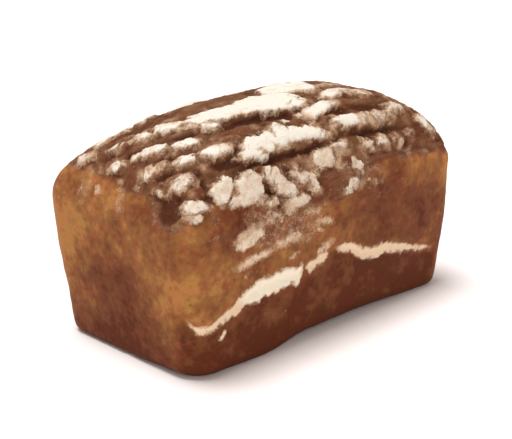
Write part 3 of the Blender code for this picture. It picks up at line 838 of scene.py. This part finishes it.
def crust_material(finish):
    """Browned walls, torn crust, and the flour on both."""
    material, tree, shader, place = patterned_material("Baked rye crust", 0.7)
    grain = shared_group(tree, "Baked grain", baked_grain_group, Place=place, Size=2.2 * MM)

    # The walls, from pale to dark, some patches redder and some more olive, with a painted
    # highlight down the front wall's far upright edge carried in the browning share.
    mottle = noise(tree, place, 9 * MM, 4.0, 0.5)
    speckle = noise(tree, place, 3.4 * MM, 2.0, 0.5)
    baked = add_scaled(tree, mottle, 0.95, attribute(tree, "browning"))
    baked = add_scaled(tree, speckle, 0.7, baked)
    baked = calculate(tree, "SUBTRACT", baked, 0.835)
    wall = fade(tree, baked, 0.0, 0.36, finish.pale_wall, finish.golden_wall)
    wall = fade(tree, baked, 0.30, 0.70, wall, finish.brown_wall)
    wall = fade(tree, baked, 0.66, 1.05, wall, finish.dark_wall)
    hue = noise(tree, stretched(tree, place, 0.9, 0.9, 1.2), 8 * MM, 2.0, 0.5)
    tint = fade(tree, hue, 0.36, 0.64, finish.olive_tint, finish.red_tint)
    wall = mix_colours(tree, 1.0, wall, tint, "MULTIPLY")

    # The torn crust: redder in patches, dusty on its ridges, and painted dark as shade in its
    # tears, cracks and plate rims.
    fibres = noise(tree, stretched(tree, place, 0.3, 1.0, 1.0), 1.8 * MM, 4.0, 0.6)
    patches = noise(tree, stretched(tree, place, 0.6, 1.0, 1.0), 9 * MM, 3.0, 0.6)
    level = new_node(tree, "ShaderNodeSeparateXYZ", Vector=place).outputs["Z"]
    patches = add_scaled(tree, ramp_between(tree, level, 96 * MM, 76 * MM), 0.14, patches)
    torn = fade(tree, patches, 0.44, 0.64, finish.torn_crust, finish.red_crust)
    dusty = add_scaled(tree, fibres, 0.9, attribute(tree, "haze"))
    torn = fade(tree, dusty, 0.45, 1.15, torn, finish.dusty_crust)
    # Painted shade in the tears, the cracks and the rims beside the plates.
    deep = add_scaled(tree, fibres, 0.5, attribute(tree, "torn"))
    torn = fade(tree, deep, 0.45, 1.15, torn, finish.tear_shade)
    edge = add_scaled(tree, mottle, 0.5, attribute(tree, "crust"))
    colour = fade(tree, edge, 0.45, 0.95, wall, torn)
    pores = calculate(tree, "MULTIPLY", grain.outputs["Dark"], 0.45)
    colour = mix_colours(tree, pores, colour, finish.dark_wall)

    # The flour: thin where it is only dusted on, and ragged at its edges. Below the crown it
    # takes paler copies of the flour colours. This is partly thicker flour in the fold and partly
    # painted light, making up for the walls taking less light than the crown.
    ragged = noise(tree, place, 2.8 * MM, 4.0, 0.6)
    specks = noise(tree, place, 0.9 * MM, 3.0, 0.65)
    cover = add_scaled(tree, ragged, 1.1, attribute(tree, "flour"))
    cover = add_scaled(tree, specks, 0.6, cover)
    cover = ramp_between(tree, cover, 1.10, 1.60)
    film = add_scaled(tree, specks, 0.9, attribute(tree, "haze"))
    film = add_scaled(tree, ragged, 0.6, film)
    film = ramp_between(tree, film, 1.0, 1.8, 0.0, 0.85)
    # Painted light: below the crown the flour turns to its paler wall copies.
    lit_wall_share = ramp_between(tree, level, 72 * MM, 62 * MM)
    thick = mix_colours(tree, lit_wall_share, finish.flour, finish.lit_fold_flour)
    thin = mix_colours(tree, lit_wall_share, finish.thin_flour, finish.lit_wall_dust)
    powder = shared_group(
        tree, "Flour powder", flour_powder_group, Place=place, Thick=thick, Thin=thin,
        Cover=attribute(tree, "flour_depth"))
    colour = mix_colours(tree, film, colour, thin)
    colour = mix_colours(tree, cover, colour, powder.outputs["Colour"])
    tree.links.new(ramp_between(tree, cover, 0.0, 1.0, 0.58, 0.95), shader.inputs["Roughness"])

    # Fine relief: fibres on the torn crust, pores everywhere and powder on the flour.
    fibre_height = calculate(tree, "MULTIPLY", fibres, attribute(tree, "crust"))
    height = add_scaled(tree, fibre_height, 1.2, grain.outputs["Height"])
    height = add_scaled(tree, cover, 0.25, height)
    powdery = calculate(tree, "MULTIPLY", cover, powder.outputs["Height"])
    height = add_scaled(tree, powdery, 0.5, height)
    cover_piece(tree, shader, colour, height, 0.5 * MM, 0.9)
    return material


def clod_material(finish):
    """Lumps of flour."""
    material, tree, shader, place = patterned_material("Clotted flour", 0.95)
    powder = shared_group(
        tree, "Flour powder", flour_powder_group, Place=place, Thick=finish.flour,
        Thin=finish.thin_flour, Cover=1.0)
    cover_piece(
        tree, shader, powder.outputs["Colour"], powder.outputs["Height"], 0.2 * MM, 0.6)
    return material


def bran_material(finish):
    """Flakes of bran, from straw to dark brown."""
    material, tree, shader, place = patterned_material("Toasted bran", 0.6)
    grain = shared_group(tree, "Baked grain", baked_grain_group, Place=place, Size=0.8 * MM)
    tone = noise(tree, place, 6 * MM, 2.0)
    colour = fade(tree, tone, 0.35, 0.65, finish.red_crust, finish.dusty_crust)
    pores = calculate(tree, "MULTIPLY", grain.outputs["Dark"], 0.6)
    colour = mix_colours(tree, pores, colour, finish.dark_wall)
    cover_piece(tree, shader, colour, grain.outputs["Height"], 0.15 * MM, 0.6)
    return material


def deselect_all():
    """Leaves nothing selected, because an operator acts on all that is."""
    for item in bpy.context.selected_objects:
        item.select_set(False)


def read_vectors(items, name):
    """A vector of each item of a mesh, as rows of numbers."""
    values = np.empty(len(items) * 3)
    items.foreach_get(name, values)
    return values.reshape(-1, 3)


def clear_selection(kind):
    """Leaves no face, edge or corner selected, and sets which kind is picked next."""
    bpy.ops.object.mode_set(mode="EDIT")
    bpy.ops.mesh.select_mode(type=kind)
    bpy.ops.mesh.select_all(action="DESELECT")
    bpy.ops.object.mode_set(mode="OBJECT")


def cut_parallel_edges(mesh, axis, cuts):
    """Splits every edge that runs along one axis into equal lengths."""
    clear_selection("EDGE")
    ends = np.empty(len(mesh.edges) * 2, np.int32)
    mesh.edges.foreach_get("vertices", ends)
    places = read_vectors(mesh.vertices, "co")
    run = np.abs(places[ends[0::2]] - places[ends[1::2]])
    parallel = run[:, axis] > 0.99 * np.linalg.norm(run, axis=1)
    mesh.edges.foreach_set("select", parallel)
    bpy.ops.object.mode_set(mode="EDIT")
    bpy.ops.mesh.subdivide(number_cuts=cuts - 1)
    bpy.ops.object.mode_set(mode="OBJECT")


def dissolve_flat_base(mesh, shape):
    """Makes the flat middle of the base one face."""
    clear_selection("FACE")
    middles = read_vectors(mesh.polygons, "center")
    edge = shape.blunt_radius / np.array(half_rim(shape))
    flat = middles[:, 2] < -0.999
    flat &= (np.abs(middles[:, :2]) < 1.0 - edge).all(axis=1)
    mesh.polygons.foreach_set("select", flat)
    bpy.ops.object.mode_set(mode="EDIT")
    bpy.ops.mesh.dissolve_faces(use_verts=True)
    bpy.ops.object.mode_set(mode="OBJECT")


def turned(chance, count):
    """Random rotations, as matrices."""
    w, x, y, z = unit(chance.normal(size=(count, 4))).T
    rows = [
        [1 - 2 * (y * y + z * z), 2 * (x * y - w * z), 2 * (x * z + w * y)],
        [2 * (x * y + w * z), 1 - 2 * (x * x + z * z), 2 * (y * z - w * x)],
        [2 * (x * z - w * y), 2 * (y * z + w * x), 1 - 2 * (x * x + y * y)],
    ]
    return np.moveaxis(np.array(rows), 2, 0)


def laid_flat(normals, chance):
    """Rotations that lay a bit's Z along each normal, each turned on it at random."""
    first = unit(np.cross(normals, chance.normal(size=normals.shape)))
    return np.stack([first, np.cross(normals, first), normals], axis=2)


def scatter_bits(name, bit, places, turns, sizes, jitter, chance):
    """One mesh of many copies of a small bit, each turned, sized and dented on its own."""
    corners = read_vectors(bit.data.vertices, "co")
    faces = [list(face.vertices) for face in bit.data.polygons]
    bpy.data.objects.remove(bit)
    shapes = corners * sizes[:, None, :]
    shapes *= chance.uniform(1.0 - jitter, 1.0, (len(places), len(corners), 1))
    spots = np.einsum("nij,nkj->nki", turns, shapes) + places[:, None, :]
    starts = np.arange(len(places)) * len(corners)
    mesh = bpy.data.meshes.new(name)
    mesh.from_pydata(
        spots.reshape(-1, 3).tolist(), [],
        [[start + corner for corner in face] for start in starts.tolist() for face in faces])
    scattered = bpy.data.objects.new(name, mesh)
    bpy.context.scene.collection.objects.link(scattered)
    return scattered


def pick_places(loaf, wanted, count, margin, chance):
    """Seeded places on the loaf, likelier where the wanted share is high, and the
    outward directions there. None lies so near the solid's box that a bit would cross it."""
    points = read_vectors(loaf.data.vertices, "co")
    normals = read_vectors(loaf.data.vertices, "normal")
    inside = (points > np.array(LOAF_LOW) + margin) & (points < np.array(LOAF_HIGH) - margin)
    wanted = np.clip(wanted, 0.0, 1.0) * inside.all(axis=1)
    picked = chance.choice(len(points), count, replace=False, p=wanted / wanted.sum())
    return points[picked], normals[picked]


def stored_share(loaf, name):
    """A share that the crust holds, point by point."""
    values = np.empty(len(loaf.data.vertices), np.float32)
    loaf.data.attributes[name].data.foreach_get("value", values)
    return values.astype(float)


def finished_crust():
    """The crust, which the bits lie on."""
    loaf = bpy.data.objects.get(CRUST_NAME)
    if loaf is None:
        raise RuntimeError("Make the baked crust first: the bits lie on it")
    return loaf


def fit_to_box(points, low, high):
    """Shrinks or stretches points by a hair so that they fill the solid's own box."""
    scale = (np.array(high) - np.array(low)) / (points.max(axis=0) - points.min(axis=0))
    return (points - points.min(axis=0)) * scale + np.array(low)


class RYELOAF_OT_crust(bpy.types.Operator):
    """Model the loaf's crust, torn on top and folded at the side"""

    bl_idname = "ryeloaf.crust"
    bl_label = "Baked crust"

    # How many parts each axis is cut into, in two goes because one makes up to a hundred.
    CUTS = ((24, 10), (14, 9), (12, 6))
    ROWS_UPWARD = 0.4

    def execute(self, context):
        shape = context.scene.rye_loaf_shape
        relief = context.scene.rye_loaf_relief
        deselect_all()
        bpy.ops.mesh.primitive_cube_add(size=2)
        loaf = context.object
        loaf.name = CRUST_NAME
        mesh = loaf.data
        mesh.name = CRUST_NAME
        for axis, goes in enumerate(self.CUTS):
            for cuts in goes:
                cut_parallel_edges(mesh, axis, cuts)
        dissolve_flat_base(mesh, shape)

        # The rows lie closer together towards the crown, where the relief is.
        cube = read_vectors(mesh.vertices, "co")
        height = (cube[:, 2] + 1.0) / 2.0
        height += self.ROWS_UPWARD * height * (1.0 - height)
        cube[:, 2] = height * 2.0 - 1.0
        points = loaf_form(cube, shape)
        mesh.vertices.foreach_set("co", points.ravel())
        mesh.update()
        normals = read_vectors(mesh.vertices, "normal")
        stands_out, shares = crust_fields(points, normals, shape, relief)
        stands_out *= smoothstep(0.0, 3 * MM, points[:, 2])
        points = fit_to_box(points + normals * stands_out[:, None], LOAF_LOW, LOAF_HIGH)
        mesh.vertices.foreach_set("co", points.ravel())
        for name, values in shares.items():
            stored = mesh.attributes.new(name, "FLOAT", "POINT")
            stored.data.foreach_set("value", values.astype(np.float32))
        mesh.shade_smooth()
        mesh.update()
        mesh.materials.append(crust_material(context.scene.rye_loaf_finish))

        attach(loaf, "root")
        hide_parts("rye_loaf")
        return {"FINISHED"}


class RYELOAF_OT_flour_clods(bpy.types.Operator):
    """Strew small lumps of flour over the floured skin"""

    bl_idname = "ryeloaf.flour_clods"
    bl_label = "Flour clods"

    SMALLEST = 0.35
    FLATTEST = 0.6
    SUNK = 0.4
    DENTS = 0.35

    def execute(self, context):
        scatter = context.scene.rye_loaf_scatter
        loaf = finished_crust()
        chance = np.random.default_rng(scatter.seed)
        wanted = smoothstep(0.55, 0.9, stored_share(loaf, "flour"))
        places, normals = pick_places(
            loaf, wanted, scatter.clods, scatter.clod_size, chance)
        sizes = chance.uniform(self.SMALLEST, 1.0, (scatter.clods, 1)) ** 2
        sizes = sizes * chance.uniform(self.FLATTEST, 1.0, (scatter.clods, 3))
        sizes *= scatter.clod_size
        places = places - normals * sizes.mean(axis=1, keepdims=True) * self.SUNK

        deselect_all()
        bpy.ops.mesh.primitive_ico_sphere_add(subdivisions=1, radius=1)
        clods = scatter_bits(
            "flour_clods", context.object, places, turned(chance, scatter.clods), sizes,
            self.DENTS, chance)
        clods.data.materials.append(clod_material(context.scene.rye_loaf_finish))
        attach(clods, "root")
        return {"FINISHED"}


class RYELOAF_OT_bran_flakes(bpy.types.Operator):
    """Strew flakes of bran over the bare crust"""

    bl_idname = "ryeloaf.bran_flakes"
    bl_label = "Bran flakes"

    SIDES = 7
    SMALLEST = 0.35
    NARROWEST = 0.5
    THICKNESS = 0.3
    DENTS = 0.3
    WALL_SHARE = 0.04

    def execute(self, context):
        scatter = context.scene.rye_loaf_scatter
        loaf = finished_crust()
        chance = np.random.default_rng(scatter.seed + 1)
        wanted = np.maximum(stored_share(loaf, "crust"), self.WALL_SHARE)
        wanted *= smoothstep(0.6, 0.2, stored_share(loaf, "flour"))
        places, normals = pick_places(
            loaf, wanted, scatter.flakes, scatter.flake_size, chance)
        sizes = chance.uniform(self.SMALLEST, 1.0, (scatter.flakes, 1))
        sizes = sizes * chance.uniform(self.NARROWEST, 1.0, (scatter.flakes, 3))
        sizes *= scatter.flake_size
        sizes[:, 2] *= self.THICKNESS

        deselect_all()
        bpy.ops.mesh.primitive_cylinder_add(vertices=self.SIDES, radius=1, depth=2)
        flakes = scatter_bits(
            "bran_flakes", context.object, places, laid_flat(normals, chance), sizes,
            self.DENTS, chance)
        flakes.data.materials.append(bran_material(context.scene.rye_loaf_finish))
        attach(flakes, "root")
        return {"FINISHED"}


class RYELOAF_OT_stage(bpy.types.Operator):
    """Lay the floor, light the studio and aim the camera"""

    bl_idname = "ryeloaf.stage"
    bl_label = "Studio"

    FLOOR_SIZE = 12.0
    KEY_FROM = (-0.14, 0.13, 0.95)
    FRONT_FROM = (-0.45, -0.80, 0.30)
    FRONT_SOFTNESS = math.radians(60)
    AIM_LEFT = 3.7 * MM
    AIM_DOWN = 0.7 * MM
    SENSOR_WIDTH = 36

    def execute(self, context):
        studio = context.scene.rye_loaf_studio
        deselect_all()
        bpy.ops.mesh.primitive_plane_add(size=self.FLOOR_SIZE)
        floor = context.object
        floor.name = "floor"
        material, shader = new_material("Pale floor", 0.9, gloss=0.0)
        shader.inputs["Base Color"].default_value = studio.floor_colour
        floor.data.materials.append(material)

        self.hang_light(
            context, "key light", self.KEY_FROM, studio.key_strength, studio.key_softness)
        self.hang_light(
            context, "front light", self.FRONT_FROM, studio.front_strength, self.FRONT_SOFTNESS)

        world = bpy.data.worlds.new("Studio fill")
        world.use_nodes = True
        background = world.node_tree.nodes["Background"]
        background.inputs["Color"].default_value = studio.fill_colour
        background.inputs["Strength"].default_value = studio.fill_strength
        context.scene.world = world
        context.scene.view_settings.view_transform = "Standard"
        self.aim_camera(context, studio)
        return {"FINISHED"}

    def hang_light(self, context, name, direction, strength, softness):
        """A wide, far light that shines from the given direction."""
        light = bpy.data.objects.new(name, bpy.data.lights.new(name, "SUN"))
        light.data.energy = strength
        light.data.angle = softness
        light.rotation_euler = Vector(direction).to_track_quat("Z", "Y").to_euler()
        context.scene.collection.objects.link(light)

    def aim_camera(self, context, studio):
        """The camera looks at the loaf's corner, level and from a little above."""
        turn, lift = studio.azimuth, studio.elevation
        back = Vector((
            math.sin(turn) * math.cos(lift),
            -math.cos(turn) * math.cos(lift),
            math.sin(lift),
        ))
        right = (-back).cross(Vector((0, 0, 1))).normalized()
        up = right.cross(-back)
        middle = Vector((0, 0, studio.middle_height))
        camera = bpy.data.objects.new("camera", bpy.data.cameras.new("camera"))
        camera.location = middle + back * studio.distance
        aim = middle - right * self.AIM_LEFT - up * self.AIM_DOWN
        camera.rotation_euler = (aim - camera.location).to_track_quat("-Z", "Y").to_euler()
        camera.data.sensor_width = self.SENSOR_WIDTH
        camera.data.lens = studio.lens
        context.scene.collection.objects.link(camera)
        context.scene.camera = camera


class RYELOAF_PT_panel(bpy.types.Panel):
    """The loaf's pieces and settings"""

    bl_idname = "RYELOAF_PT_panel"
    bl_label = "Rye loaf"
    bl_space_type = "VIEW_3D"
    bl_region_type = "UI"
    bl_category = SIDEBAR

    def draw(self, context):
        for operator in OPERATORS:
            self.layout.operator(operator.bl_idname)
        for name in SETTINGS:
            group = getattr(context.scene, name)
            box = self.layout.box()
            for setting in group.__annotations__:
                box.prop(group, setting)


SETTINGS = {
    "rye_loaf_shape": RyeLoafShape,
    "rye_loaf_relief": RyeLoafRelief,
    "rye_loaf_finish": RyeLoafFinish,
    "rye_loaf_scatter": RyeLoafScatter,
    "rye_loaf_studio": RyeLoafStudio,
}
OPERATORS = (
    RYELOAF_OT_crust,
    RYELOAF_OT_flour_clods,
    RYELOAF_OT_bran_flakes,
    RYELOAF_OT_stage,
)


CLASSES = (*SETTINGS.values(), *OPERATORS, RYELOAF_PT_panel)


def register():
    """Adds the pieces, their settings and the panel to Blender."""
    for item in CLASSES:
        bpy.utils.register_class(item)
    for name, group in SETTINGS.items():
        setattr(bpy.types.Scene, name, PointerProperty(type=group))


def unregister():
    """Takes them away again."""
    for name in SETTINGS:
        delattr(bpy.types.Scene, name)
    for item in reversed(CLASSES):
        bpy.utils.unregister_class(item)


def main():
    """Makes every piece and the studio, and keeps the sizes of the solid and the scene."""
    register()
    bpy.ops.ryeloaf.crust()
    bpy.ops.ryeloaf.flour_clods()
    bpy.ops.ryeloaf.bran_flakes()
    bpy.ops.ryeloaf.stage()


if __name__ == "__main__":
    main()
